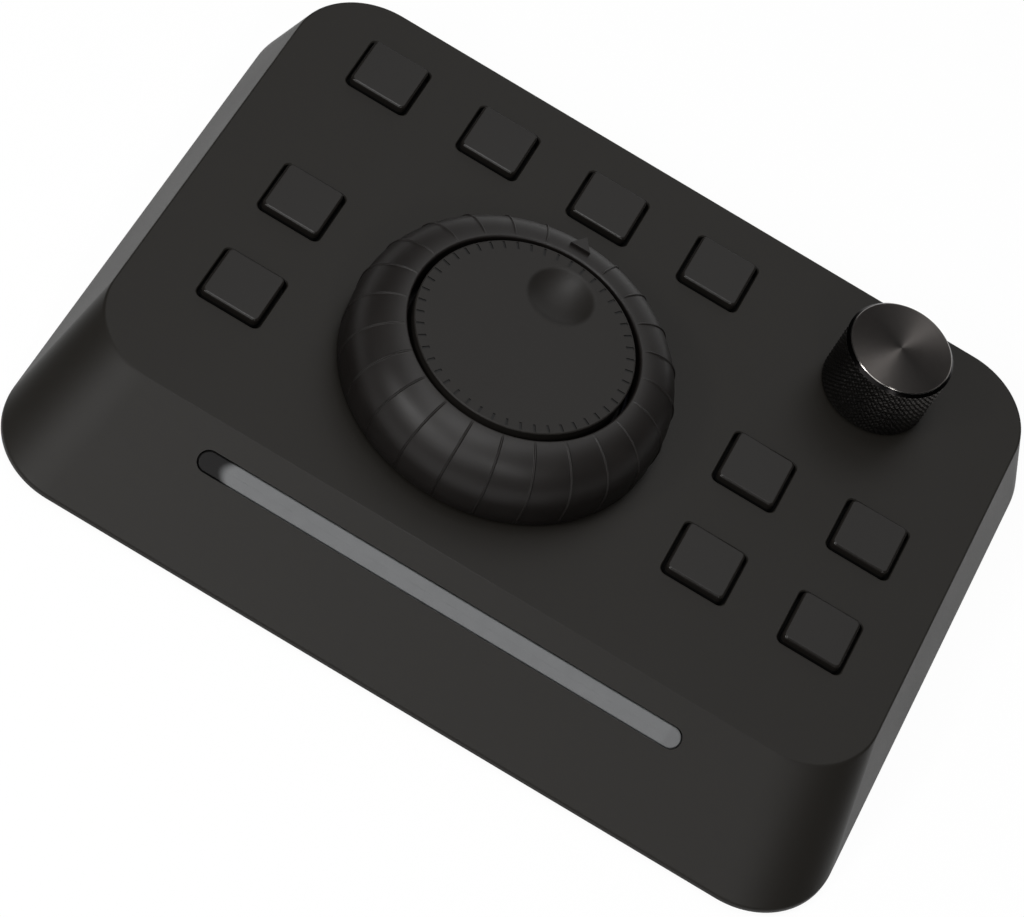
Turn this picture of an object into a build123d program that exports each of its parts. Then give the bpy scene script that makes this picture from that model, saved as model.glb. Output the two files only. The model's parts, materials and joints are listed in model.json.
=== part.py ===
from build123d import *
import os
from math import atan2, cos, radians, sin

os.makedirs("parts", exist_ok=True)

# Editing controller: a wedge-fronted housing with ten keys, a jog dial inside a
# spring-centred shuttle ring, a turning knob and a light bar on the front slope.
# Millimetres, +X along the long side, +Y to the back, Z = 0 under the rubber feet.

# Housing
base_width = 180.2
base_depth = 141.5
body_height = 16.3
foot_height = 1.0
lip_height = 1.0
side_draft = 5.63
front_run = 24.2
panel_corner = 16.2
base_front_corner = 17.3
base_back_corner = 21.8
wall = 2.2
panel_thickness = 2.4
panel_edge_round = 0.4
lip_round = 0.7

# Bottom cover, its feet and screws
cover_gap = 0.25
cover_thickness = 2.0
foot_radius = 5.0
foot_recess = 1.0
foot_gap = 0.1
foot_chamfer = 0.3
foot_side_inset = 28.0
foot_back_inset = 13.0
foot_front_inset = 15.0
screw_radius = 1.25
screw_head_radius = 2.5
screw_hole_gap = 0.2
screw_length = 9.0
screw_tip_gap = 1.0
boss_radius = 3.2
screw_side_inset = 13.1
screw_back_inset = 16.5
screw_ridge_inset = 10.5

# Keys, in columns spread evenly between the side edges of the panel
key_left_inset = 21.02
key_right_inset = 18.58
key_columns = 6
row_gap_share = 0.3915
back_keys = 4
right_keys_column = 4
pocket_size = 14.0
pocket_corner = 1.5
pocket_chamfer = 0.15
key_gap = 0.65
key_proud = 1.3
key_travel = 1.2
key_edge_round = 0.6
key_corner = 1.2
key_wall = 1.2
key_roof = 1.5
key_flange_overlap = 0.7
key_flange_thickness = 1.0
key_stop_gap = 0.3
stem_radius = 1.7
stem_gap = 0.3
stem_reach = 1.4
stem_floor_gap = 0.4
press_gap = 0.8
switch_size = 7.0
switch_corner = 0.6
switch_floor = 0.4

# Main board
board_thickness = 1.6
board_corner = 3.0
board_side_gap = 1.0
board_back_gap = 1.5
board_front_inset = 10.0
post_radius = 3.0
post_side_inset = 22.0
post_back_inset = 7.0
post_front_inset = 5.5
post_hole_depth = 2.8
board_screw_radius = 1.1
board_screw_gap = 0.3
board_screw_head_radius = 2.4
board_screw_head_height = 1.6
board_screw_tip_gap = 0.2
processor_size = 10.0
processor_height = 1.4
processor_spot = (14.0, 24.0)
memory_width = 6.0
memory_depth = 5.0
memory_height = 1.2
memory_spot = (31.0, 24.0)

# Socket for the lead
socket_width = 8.94
socket_height = 3.26
socket_length = 7.35
socket_wall = 0.3
socket_setback = 0.7
socket_opening_gap = 0.35
tongue_width = 6.69
tongue_thickness = 0.7
tongue_setback = 0.8
socket_floor = 1.2

# Light bar
bar_length = 104.7
bar_width = 4.1
bar_gap = 0.25
bar_drop = 7.7
bar_flange_overlap = 2.0
bar_flange_thickness = 1.6
light_board_margin = 0.4
light_board_thickness = 1.0
light_count = 12
light_size = 2.8
light_height = 0.8
light_side_gap = 0.4
light_front_gap = 0.2
light_end_margin = 8.0

# Shuttle ring
ring_gap = 1.1
ring_width = 9.8
ring_height = 15.45
ring_panel_gap = 0.4
ring_inner_round = 0.5
ring_bottom_chamfer = 0.5
rib_places = 24
rib_width = 0.7
rib_height = 0.3
rib_lift = 0.15
rib_root = 0.3
rib_start_angle = 6.0
pointer_rise = 0.35
pointer_inset = 2.8
pointer_length = 3.1
pointer_width = 4.4
pointer_angle = 90.0

# Hub that carries the ring
hub_panel_gap = 0.9
hub_flange_step = 1.6
hub_flange_thickness = 2.5
hub_rim_inset = 2.8
hub_rim_wall = 2.0
hub_rim_depth = 4.25
hub_floor_thickness = 1.0
hub_boss_wall = 3.0
hub_boss_height = 2.2
hub_fit = 0.05
nut_clearance = 0.5
shuttle_range = 70.0

# Stop pin, ring magnet and return spring of the shuttle
pin_radius = 1.25
pin_recess_wall = 1.65
pin_angle = 270.0
pin_slot_gap = 0.35
pin_end_angle = 1.0
pin_below_panel = 1.0
magnet_pin_wall = 1.25
magnet_ring_width = 3.0
magnet_ring_height = 1.2
spring_thickness = 0.5
spring_height = 1.6
spring_half_turns = 7
spring_gap = 0.35

# Fixed spindle
bush_wall = 1.5
bush_length = 4.0
spindle_wall = 3.5
spindle_end_length = 0.2
spindle_flange_overhang = 4.0
spindle_flange_thickness = 2.0
spindle_hole_gap = 0.3
spindle_nut_wall = 2.5
spindle_nut_height = 1.8
hub_clip_gap = 0.35
hub_clip_thickness = 0.7
hub_clip_depth = 0.6
hub_clip_overhang = 1.6

# Jog dial and its shaft
dial_radius = 22.3
dial_height = 15.85
dial_thickness = 3.2
dial_edge_round = 0.3
dial_skirt_wall = 2.0
dial_skirt_gap = 0.6
dial_boss_wall = 3.0
dial_spindle_gap = 0.35
dial_bore_roof = 1.6
dimple_radius = 6.78
dimple_depth = 1.8
dimple_edge_gap = 2.49
dimple_angle = 82.2
dimple_round = 0.4
tick_count = 48
tick_edge_gap = 0.4
tick_length = 1.7
tick_width = 0.35
tick_depth = 0.15
shaft_radius = 3.0
shaft_fit = 0.04
shaft_end_length = 0.4
jog_clip_gap = 0.35
jog_clip_thickness = 0.8
jog_clip_depth = 0.6
jog_clip_overhang = 1.4
jog_magnet_gap = 0.6
jog_sensor_size = 5.0
jog_sensor_height = 0.9

# Sensor of the shuttle, under the panel
shuttle_sensor_width = 12.0
shuttle_sensor_depth = 9.0
shuttle_sensor_thickness = 1.0
shuttle_sensor_angle = 90.0
hall_chip_size = 4.0
hall_chip_height = 1.2

# Knob and its encoder
knob_back_inset = 21.72
knob_height = 15.03
knob_radius = 11.4
knob_panel_gap = 0.5
knob_band_step = 0.9
knob_band_height = 0.6
knob_ledge_height = 0.6
knob_top_chamfer = 0.35
knob_bottom_chamfer = 0.4
knob_recess_gap = 1.2
knob_recess_depth = 6.5
knob_bore_roof = 2.5
knob_shaft_radius = 3.0
knob_shaft_flat = 1.5
knob_shaft_fit = 0.04
knob_shaft_in_body = 3.0
knob_shaft_end_gap = 0.4
encoder_size = 12.5
encoder_corner = 0.8
bushing_wall = 0.5
bushing_hole_gap = 0.2
bushing_height = 5.0
washer_width = 2.7
washer_thickness = 0.5
encoder_nut_wall = 1.5
encoder_nut_height = 2.0

# Levels of the housing
underside_z = foot_height
lip_z = underside_z + lip_height
panel_z = underside_z + body_height
ceiling_z = panel_z - panel_thickness
cover_top_z = underside_z + cover_thickness
slope_rise = panel_z - lip_z
slope_angle = atan2(slope_rise, front_run)
side_wall_run = wall / cos(atan2(side_draft, slope_rise))
front_wall_run = wall / sin(slope_angle)
ridge_y = front_run - base_depth / 2
panel_half_width = base_width / 2 - side_draft
panel_back_y = base_depth / 2 - side_draft

# Levels of the key stack and the boards
key_flange_z = ceiling_z - key_stop_gap - key_flange_thickness
key_top_z = panel_z + key_proud
switch_top_z = key_flange_z - key_travel - press_gap
stem_end_z = switch_top_z - stem_reach
well_depth = stem_reach + key_travel + stem_floor_gap
switch_height = well_depth + switch_floor
board_top_z = switch_top_z - switch_height
board_z = board_top_z - board_thickness

# Places on the panel, as seen from above: a share of the free depth lies between the
# back keys and the wheel, and the rest is split evenly in front of and behind them
key_pitch = (2 * panel_half_width - key_left_inset - key_right_inset) / (key_columns - 1)
columns = [key_left_inset - panel_half_width + key_pitch * index for index in range(key_columns)]
ring_inner_radius = dial_radius + ring_gap
ring_outer_radius = ring_inner_radius + ring_width
free_depth = panel_back_y - ridge_y - pocket_size - 2 * ring_outer_radius
panel_margin = free_depth * (1 - row_gap_share) / 2
wheel_y = ridge_y + panel_margin + ring_outer_radius
back_row_y = panel_back_y - panel_margin - pocket_size / 2
middle_row_y = wheel_y + key_pitch / 2
front_row_y = wheel_y - key_pitch / 2
back_key_spots = [(x, back_row_y) for x in columns[:back_keys]]
left_key_spots = [(columns[0], middle_row_y), (columns[0], front_row_y)]
right_key_spots = [(x, y) for y in (middle_row_y, front_row_y) for x in columns[right_keys_column:]]
key_spots = back_key_spots + left_key_spots + right_key_spots
wheel_spot = ((columns[0] + columns[right_keys_column]) / 2, wheel_y)
knob_spot = ((columns[right_keys_column] + columns[-1]) / 2, panel_back_y - knob_back_inset)

# Places of the screws, feet and posts
screw_x = base_width / 2 - screw_side_inset
screw_back_y = base_depth / 2 - screw_back_inset
screw_front_y = ridge_y + screw_ridge_inset
screw_spots = [(side * screw_x, y) for side in (-1, 1) for y in (screw_front_y, screw_back_y)]
foot_x = base_width / 2 - foot_side_inset
foot_rows = (foot_front_inset - base_depth / 2, base_depth / 2 - foot_back_inset)
foot_spots = [(side * foot_x, y) for side in (-1, 1) for y in foot_rows]
board_half_width = screw_x - boss_radius - board_side_gap


def side_step(z):
    return side_draft * max(z - lip_z, 0) / slope_rise


board_back_y = base_depth / 2 - side_step(board_top_z) - side_wall_run - board_back_gap
board_front_y = ridge_y + board_front_inset
post_x = board_half_width - post_side_inset
post_rows = (board_front_y + post_front_inset, board_back_y - post_back_inset)
post_spots = [(side * post_x, y) for side in (-1, 1) for y in post_rows]


# Outline of the housing at one height, drawn in by the wall at the sides and the front
def housing_section(z, side_inset, front_inset):
    rise = max(z - lip_z, 0) / slope_rise
    half_width = base_width / 2 - side_step(z) - side_inset
    back = base_depth / 2 - side_step(z) - side_inset
    front = front_run * rise - base_depth / 2 + front_inset
    front_corner = base_front_corner + (panel_corner - base_front_corner) * rise - side_inset
    back_corner = base_back_corner + (panel_corner - base_back_corner) * rise - side_inset
    with BuildSketch(Plane.XY.offset(z)) as section:
        with Locations((0, (front + back) / 2)):
            Rectangle(2 * half_width, back - front)
        fillet(section.vertices().group_by(Axis.Y)[0], front_corner)
        fillet(section.vertices().group_by(Axis.Y)[-1], back_corner)
    return section.sketch


# Upright plane through a spot: its x is the radius and its y the height above z
def turning_plane(spot, z):
    return Plane(origin=(*spot, z), x_dir=(1, 0, 0), z_dir=(0, -1, 0))


def upright_axis(spot):
    return Axis((*spot, 0), (0, 0, 1))


def polar_spot(center, radius, angle):
    turn = radians(angle)
    return (center[0] + radius * cos(turn), center[1] + radius * sin(turn))


def hexagon_radius(flats):
    return flats / 2 / cos(radians(30))


def finish(piece, label):
    piece.label = label
    export_step(piece, f"parts/{label}.step")


# Radii of the wheel's pieces, from the shaft outwards
spindle_bore = shaft_radius + bush_wall
spindle_radius = spindle_bore + spindle_wall
spindle_flange_radius = spindle_radius + spindle_flange_overhang
spindle_nut_flats = 2 * (spindle_radius + spindle_nut_wall)
hub_bore = spindle_radius + hub_fit
hub_boss_radius = hub_bore + hub_boss_wall
hub_clip_inner = spindle_radius - hub_clip_depth
hub_recess_radius = hexagon_radius(spindle_nut_flats) + nut_clearance
pin_orbit = hub_recess_radius + pin_recess_wall + pin_radius
magnet_ring_inner = pin_orbit + pin_radius + magnet_pin_wall
magnet_ring_outer = magnet_ring_inner + magnet_ring_width
hub_rim_inner = ring_inner_radius + hub_rim_inset
hub_rim_radius = hub_rim_inner + hub_rim_wall
hub_flange_radius = hub_rim_radius + hub_flange_step
jog_clip_inner = shaft_radius - jog_clip_depth

# Heights of the wheel's pieces, above the panel
hub_recess_top = spindle_nut_height + nut_clearance
hub_floor_top = hub_recess_top + hub_floor_thickness
hub_boss_top = hub_recess_top + hub_boss_height
hub_flange_top = hub_panel_gap + hub_flange_thickness
hub_rim_height = ring_height - hub_rim_depth
hub_clip_bottom = hub_boss_top + hub_clip_gap
hub_clip_top = hub_clip_bottom + hub_clip_thickness
spring_bottom = hub_clip_top + spring_gap
spring_top = spring_bottom + spring_height
spindle_height = spring_top + spindle_end_length
spindle_bottom = -panel_thickness - spindle_flange_thickness
jog_clip_top = spindle_bottom - jog_clip_gap
jog_clip_bottom = jog_clip_top - jog_clip_thickness
shaft_bottom = jog_clip_bottom - shaft_end_length
shaft_top = dial_height - dial_bore_roof
dial_boss_bottom = spindle_height + dial_spindle_gap
dial_skirt_bottom = spring_top + dial_skirt_gap
wheel_plane = turning_plane(wheel_spot, panel_z)
wheel_axis = upright_axis(wheel_spot)

# Radii of the encoder's pieces, from its shaft outwards
bushing_radius = knob_shaft_radius + bushing_wall
washer_radius = bushing_radius + washer_width
encoder_nut_flats = 2 * (bushing_radius + encoder_nut_wall)

# Plane of the front slope, at the middle of the light bar
bar_plane = Plane(
    origin=(0, ridge_y - bar_drop * cos(slope_angle), panel_z - bar_drop * sin(slope_angle)),
    x_dir=(1, 0, 0),
    z_dir=(0, -sin(slope_angle), cos(slope_angle)),
)

# Plane of the socket's mouth, in the back wall
socket_z = board_top_z + socket_height / 2
socket_mouth_y = base_depth / 2 - side_step(socket_z) - socket_setback
socket_plane = Plane(origin=(0, socket_mouth_y, socket_z), x_dir=(1, 0, 0), z_dir=(0, 1, 0))

# Top shell: drafted walls, a long front slope, and the openings of the panel
slot_start = pin_angle - shuttle_range - pin_end_angle
slot_sweep = 2 * (shuttle_range + pin_end_angle)
with BuildPart() as top_shell:
    loft([housing_section(z, 0, 0) for z in (underside_z, lip_z, panel_z)], ruled=True)
    fillet(top_shell.edges().group_by(Axis.Z)[-1], panel_edge_round)
    fillet(top_shell.edges().filter_by_position(Axis.Z, lip_z, lip_z), lip_round)
    loft(
        [housing_section(z, side_wall_run, front_wall_run) for z in (underside_z, lip_z, ceiling_z)],
        ruled=True,
        mode=Mode.SUBTRACT,
    )
    with BuildSketch(Plane.XY.offset(panel_z)):
        with Locations(*key_spots):
            RectangleRounded(pocket_size, pocket_size, pocket_corner)
    extrude(amount=-panel_thickness, mode=Mode.SUBTRACT)
    panel_face = top_shell.faces().sort_by(Axis.Z)[-1]
    chamfer(panel_face.inner_wires().edges(), pocket_chamfer)
    with BuildSketch(Plane.XY.offset(panel_z)):
        with Locations(wheel_spot):
            Circle(spindle_radius + spindle_hole_gap)
        with Locations(knob_spot):
            Circle(bushing_radius + bushing_hole_gap)
        pin_path = CenterArc(wheel_spot, pin_orbit, slot_start, slot_sweep, mode=Mode.PRIVATE)
        SlotArc(pin_path, 2 * (pin_radius + pin_slot_gap))
    extrude(amount=-panel_thickness, mode=Mode.SUBTRACT)
    with BuildSketch(bar_plane):
        SlotOverall(bar_length + 2 * bar_gap, bar_width + 2 * bar_gap)
    extrude(amount=-2 * wall, mode=Mode.SUBTRACT)
    with BuildSketch(socket_plane):
        SlotOverall(socket_width + 2 * socket_opening_gap, socket_height + 2 * socket_opening_gap)
    extrude(amount=socket_length, both=True, mode=Mode.SUBTRACT)
    with BuildSketch(Plane.XY.offset(cover_top_z)):
        with Locations(*screw_spots):
            Circle(boss_radius)
    extrude(amount=ceiling_z - cover_top_z)
    with BuildSketch(Plane.XY.offset(cover_top_z)):
        with Locations(*screw_spots):
            Circle(screw_radius)
    extrude(amount=screw_length + screw_tip_gap - cover_thickness, mode=Mode.SUBTRACT)
finish(top_shell.part, "top_shell")

# Bottom cover: plate inside the lip, posts for the board, seats for feet and screws
countersink_spots = [Location((*spot, underside_z), (180, 0, 0)) for spot in screw_spots]
with BuildPart() as bottom_cover:
    loft(
        [
            housing_section(z, side_wall_run + cover_gap, front_wall_run + cover_gap)
            for z in (underside_z, cover_top_z)
        ],
        ruled=True,
    )
    with BuildSketch(Plane.XY.offset(cover_top_z)):
        with Locations(*post_spots):
            Circle(post_radius)
    extrude(amount=board_z - cover_top_z)
    with BuildSketch(Plane.XY.offset(board_z)):
        with Locations(*post_spots):
            Circle(board_screw_radius)
    extrude(amount=-post_hole_depth, mode=Mode.SUBTRACT)
    with BuildSketch(Plane.XY.offset(underside_z)):
        with Locations(*foot_spots):
            Circle(foot_radius + foot_gap)
    extrude(amount=foot_recess, mode=Mode.SUBTRACT)
    with Locations(*countersink_spots):
        CounterSinkHole(
            screw_radius + screw_hole_gap,
            screw_head_radius + screw_hole_gap,
            cover_thickness,
            counter_sink_angle=90,
        )
finish(bottom_cover.part, "bottom_cover")

# Four rubber feet in their recesses
with BuildPart() as rubber_feet:
    with BuildSketch():
        with Locations(*foot_spots):
            Circle(foot_radius)
    extrude(amount=foot_height + foot_recess)
    chamfer(rubber_feet.edges().group_by(Axis.Z)[0], foot_chamfer)
finish(rubber_feet.part, "rubber_feet")

# Countersunk screws that hold the cover to the bosses
screw_head_depth = screw_head_radius - screw_radius
with BuildPart() as cover_screws:
    for spot in screw_spots:
        with BuildSketch(turning_plane(spot, underside_z)):
            with BuildLine():
                Polyline(
                    (0, 0),
                    (screw_head_radius, 0),
                    (screw_radius, screw_head_depth),
                    (screw_radius, screw_length),
                    (0, screw_length),
                    close=True,
                )
            make_face()
        revolve(axis=upright_axis(spot))
finish(cover_screws.part, "cover_screws")

# Main board on the posts of the cover
with BuildPart() as main_board:
    with BuildSketch(Plane.XY.offset(board_z)):
        with Locations((0, (board_front_y + board_back_y) / 2)):
            RectangleRounded(2 * board_half_width, board_back_y - board_front_y, board_corner)
        with Locations(*post_spots):
            Circle(board_screw_radius + board_screw_gap, mode=Mode.SUBTRACT)
    extrude(amount=board_thickness)
finish(main_board.part, "main_board")

# Pan-head screws that hold the board
board_screw_length = board_thickness + post_hole_depth - board_screw_tip_gap
with BuildPart() as board_screws:
    for spot in post_spots:
        with BuildSketch(turning_plane(spot, board_top_z)):
            with BuildLine():
                Polyline(
                    (0, board_screw_head_height),
                    (board_screw_head_radius, board_screw_head_height),
                    (board_screw_head_radius, 0),
                    (board_screw_radius, 0),
                    (board_screw_radius, -board_screw_length),
                    (0, -board_screw_length),
                    close=True,
                )
            make_face()
        revolve(axis=upright_axis(spot))
finish(board_screws.part, "board_screws")

# Processor and memory on the board
with BuildPart() as board_chips:
    with BuildSketch(Plane.XY.offset(board_top_z)):
        with Locations(processor_spot):
            Rectangle(processor_size, processor_size)
    extrude(amount=processor_height)
    with BuildSketch(Plane.XY.offset(board_top_z)):
        with Locations(memory_spot):
            Rectangle(memory_width, memory_depth)
    extrude(amount=memory_height)
finish(board_chips.part, "board_chips")

# Socket in the back wall: a rolled shell with a closed floor and a contact tongue
with BuildPart() as usb_socket:
    with BuildSketch(socket_plane):
        SlotOverall(socket_width, socket_height)
    extrude(amount=-socket_length)
    with BuildSketch(socket_plane):
        SlotOverall(socket_width - 2 * socket_wall, socket_height - 2 * socket_wall)
    extrude(amount=socket_floor - socket_length, mode=Mode.SUBTRACT)
    with BuildSketch(socket_plane.offset(-tongue_setback)):
        Rectangle(tongue_width, tongue_thickness)
    extrude(amount=tongue_setback + socket_floor - socket_length)
finish(usb_socket.part, "usb_socket")

# Switch housings under the keys, each with a well for the key's stem
with BuildPart() as key_switches:
    with BuildSketch(Plane.XY.offset(board_top_z)):
        with Locations(*key_spots):
            RectangleRounded(switch_size, switch_size, switch_corner)
    extrude(amount=switch_height)
    with BuildSketch(Plane.XY.offset(switch_top_z)):
        with Locations(*key_spots):
            Circle(stem_radius + stem_gap)
    extrude(amount=-well_depth, mode=Mode.SUBTRACT)
finish(key_switches.part, "key_switches")

# Key: hollow cap, flange that stops under the panel, and stem to the switch
key_size = pocket_size - 2 * key_gap
key_flange_size = pocket_size + 2 * key_flange_overlap
key_hollow_size = key_size - 2 * key_wall
key_inner_corner = max(key_corner - key_wall / 2, key_corner / 2)


def make_key(label, spot):
    with BuildPart() as key:
        with BuildSketch(Plane.XY.offset(key_flange_z)):
            with Locations(spot):
                RectangleRounded(key_size, key_size, key_corner)
        extrude(amount=key_top_z - key_flange_z)
        fillet(key.edges().group_by(Axis.Z)[-1], key_edge_round)
        with BuildSketch(Plane.XY.offset(key_flange_z)):
            with Locations(spot):
                RectangleRounded(key_flange_size, key_flange_size, pocket_corner)
        extrude(amount=key_flange_thickness)
        with BuildSketch(Plane.XY.offset(key_flange_z)):
            with Locations(spot):
                RectangleRounded(key_hollow_size, key_hollow_size, key_inner_corner)
        extrude(amount=key_top_z - key_roof - key_flange_z, mode=Mode.SUBTRACT)
        with BuildSketch(Plane.XY.offset(stem_end_z)):
            with Locations(spot):
                Circle(stem_radius)
        extrude(amount=key_top_z - key_roof - stem_end_z)
    finish(key.part, label)


for group, spots in (("back", back_key_spots), ("left", left_key_spots), ("right", right_key_spots)):
    for number, spot in enumerate(spots, start=1):
        make_key(f"key_{group}_{number}", spot)

# Light bar: diffuser flush with the slope, with a flange behind the wall
bar_flange_length = bar_length + 2 * bar_flange_overlap
bar_flange_width = bar_width + 2 * bar_flange_overlap
light_groove_length = bar_length - light_end_margin
light_groove_width = light_size + 2 * light_side_gap
light_groove_depth = light_height + light_front_gap
with BuildPart() as light_bar:
    with BuildSketch(bar_plane):
        SlotOverall(bar_length, bar_width)
    extrude(amount=-wall)
    with BuildSketch(bar_plane.offset(-wall)):
        SlotOverall(bar_flange_length, bar_flange_width)
    extrude(amount=-bar_flange_thickness)
    with BuildSketch(bar_plane.offset(-wall - bar_flange_thickness)):
        SlotOverall(light_groove_length, light_groove_width)
    extrude(amount=light_groove_depth, mode=Mode.SUBTRACT)
finish(light_bar.part, "light_bar")

# Strip board behind the light bar and its row of lamps
light_board_plane = bar_plane.offset(-wall - bar_flange_thickness)
light_pitch = (light_groove_length - light_end_margin) / (light_count - 1)
with BuildPart() as light_board:
    with BuildSketch(light_board_plane):
        Rectangle(bar_flange_length - 2 * light_board_margin, bar_flange_width - 2 * light_board_margin)
    extrude(amount=-light_board_thickness)
finish(light_board.part, "light_board")

with BuildPart() as bar_lamps:
    with BuildSketch(light_board_plane):
        with GridLocations(light_pitch, light_size, light_count, 1):
            Rectangle(light_size, light_size)
    extrude(amount=light_height)
finish(bar_lamps.part, "bar_lamps")

# Spindle: flange under the panel and a hollow sleeve that the hub turns on
with BuildPart() as wheel_spindle:
    with BuildSketch(wheel_plane):
        with BuildLine():
            Polyline(
                (spindle_bore, spindle_bottom),
                (spindle_flange_radius, spindle_bottom),
                (spindle_flange_radius, -panel_thickness),
                (spindle_radius, -panel_thickness),
                (spindle_radius, hub_clip_bottom),
                (hub_clip_inner, hub_clip_bottom),
                (hub_clip_inner, hub_clip_top),
                (spindle_radius, hub_clip_top),
                (spindle_radius, spindle_height),
                (spindle_bore, spindle_height),
                close=True,
            )
        make_face()
    revolve(axis=wheel_axis)
finish(wheel_spindle.part, "wheel_spindle")

with BuildPart() as spindle_nut:
    with BuildSketch(Plane.XY.offset(panel_z)):
        with Locations(wheel_spot):
            RegularPolygon(hexagon_radius(spindle_nut_flats), 6)
            Circle(spindle_radius, mode=Mode.SUBTRACT)
    extrude(amount=spindle_nut_height)
finish(spindle_nut.part, "spindle_nut")

with BuildPart() as hub_clip:
    with BuildSketch(Plane.XY.offset(panel_z + hub_clip_bottom)):
        with Locations(wheel_spot):
            Circle(spindle_radius + hub_clip_overhang)
            Circle(hub_clip_inner, mode=Mode.SUBTRACT)
    extrude(amount=hub_clip_thickness)
finish(hub_clip.part, "hub_clip")

# Two plain bushes in the bore of the spindle
with BuildPart() as jog_bushes:
    for bottom in (spindle_bottom, spindle_height - bush_length):
        with BuildSketch(Plane.XY.offset(panel_z + bottom)):
            with Locations(wheel_spot):
                Circle(spindle_bore)
                Circle(shaft_radius + shaft_fit, mode=Mode.SUBTRACT)
        extrude(amount=bush_length)
finish(jog_bushes.part, "jog_bushes")

# Hub: floor over the nut, boss on the spindle, rim inside the grip
pin_spot = polar_spot(wheel_spot, pin_orbit, pin_angle)
with BuildPart() as shuttle_hub:
    with BuildSketch(wheel_plane):
        with BuildLine():
            Polyline(
                (hub_bore, hub_recess_top),
                (hub_recess_radius, hub_recess_top),
                (hub_recess_radius, hub_panel_gap),
                (hub_flange_radius, hub_panel_gap),
                (hub_flange_radius, hub_flange_top),
                (hub_rim_radius, hub_flange_top),
                (hub_rim_radius, hub_rim_height),
                (hub_rim_inner, hub_rim_height),
                (hub_rim_inner, hub_floor_top),
                (hub_boss_radius, hub_floor_top),
                (hub_boss_radius, hub_boss_top),
                (hub_bore, hub_boss_top),
                close=True,
            )
        make_face()
    revolve(axis=wheel_axis)
    with BuildSketch(Plane.XY.offset(panel_z + hub_panel_gap)):
        with Locations(wheel_spot):
            Circle(magnet_ring_outer)
            Circle(magnet_ring_inner, mode=Mode.SUBTRACT)
    extrude(amount=magnet_ring_height, mode=Mode.SUBTRACT)
    with BuildSketch(Plane.XY.offset(panel_z + hub_panel_gap)):
        with Locations(pin_spot):
            Circle(pin_radius)
    extrude(amount=hub_floor_top - hub_panel_gap, mode=Mode.SUBTRACT)
finish(shuttle_hub.part, "shuttle_hub")

# Grip: rubber ring with a quarter-round shoulder, radial ribs and a raised pointer.
# A rib is the shoulder's own arc moved outwards and lifted less, so it gets lower inwards.
shoulder_height = ring_height - ring_width
pointer_height = ring_height + pointer_rise
pointer_base_radius = ring_inner_radius + pointer_inset
pointer_tip_radius = pointer_base_radius + pointer_length
rib_step = 360 / rib_places
rib_sweep = 90 - rib_start_angle
rib_foot = ring_panel_gap + ring_bottom_chamfer
rib_turns = [radians(pointer_angle + rib_step * index) for index in range(1, rib_places)]
rib_planes = [
    Plane(origin=(*wheel_spot, panel_z), x_dir=(cos(turn), sin(turn), 0), z_dir=(sin(turn), -cos(turn), 0))
    for turn in rib_turns
]
with BuildPart() as shuttle_grip:
    with BuildSketch(wheel_plane) as grip_section:
        with BuildLine():
            CenterArc((ring_inner_radius, shoulder_height), ring_width, 0, 90)
            Polyline(
                (ring_inner_radius, ring_height),
                (ring_inner_radius, hub_rim_height),
                (hub_rim_radius, hub_rim_height),
                (hub_rim_radius, hub_flange_top),
                (hub_flange_radius, hub_flange_top),
                (hub_flange_radius, ring_panel_gap),
                (ring_outer_radius - ring_bottom_chamfer, ring_panel_gap),
                (ring_outer_radius, ring_panel_gap + ring_bottom_chamfer),
                (ring_outer_radius, shoulder_height),
            )
        make_face()
        fillet(grip_section.vertices().group_by(Axis.Y)[-1], ring_inner_round)
    revolve(axis=wheel_axis)
    for plane in rib_planes:
        with BuildSketch(plane):
            with BuildLine():
                rib_bed = CenterArc((ring_inner_radius, shoulder_height), ring_width - rib_root, 0, rib_sweep)
                rib_middle = (ring_inner_radius + rib_height, shoulder_height + rib_lift)
                rib_top = CenterArc(rib_middle, ring_width, 0, rib_sweep)
                Line(rib_bed @ 1, rib_top @ 1)
                Polyline(
                    rib_bed @ 0,
                    (ring_outer_radius - rib_root, rib_foot),
                    (ring_outer_radius + rib_height, rib_foot),
                    rib_top @ 0,
                )
            make_face()
    extrude(amount=rib_width / 2, both=True)
    with BuildSketch(Plane.XY.offset(panel_z + pointer_height)):
        with BuildLine():
            Polyline(
                polar_spot(wheel_spot, pointer_tip_radius, pointer_angle),
                (wheel_spot[0] - pointer_width / 2, wheel_spot[1] + pointer_base_radius),
                (wheel_spot[0] + pointer_width / 2, wheel_spot[1] + pointer_base_radius),
                close=True,
            )
        make_face()
    extrude(amount=hub_rim_height - pointer_height)
finish(shuttle_grip.part, "shuttle_grip")

# Stop pin of the shuttle, running in the curved slot of the panel
with BuildPart() as shuttle_stop_pin:
    with BuildSketch(Plane.XY.offset(ceiling_z - pin_below_panel)):
        with Locations(pin_spot):
            Circle(pin_radius)
    extrude(amount=panel_thickness + pin_below_panel + hub_floor_top)
finish(shuttle_stop_pin.part, "shuttle_stop_pin")

with BuildPart() as shuttle_magnet:
    with BuildSketch(Plane.XY.offset(panel_z + hub_panel_gap)):
        with Locations(wheel_spot):
            Circle(magnet_ring_outer)
            Circle(magnet_ring_inner, mode=Mode.SUBTRACT)
    extrude(amount=magnet_ring_height)
finish(shuttle_magnet.part, "shuttle_magnet")

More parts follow.
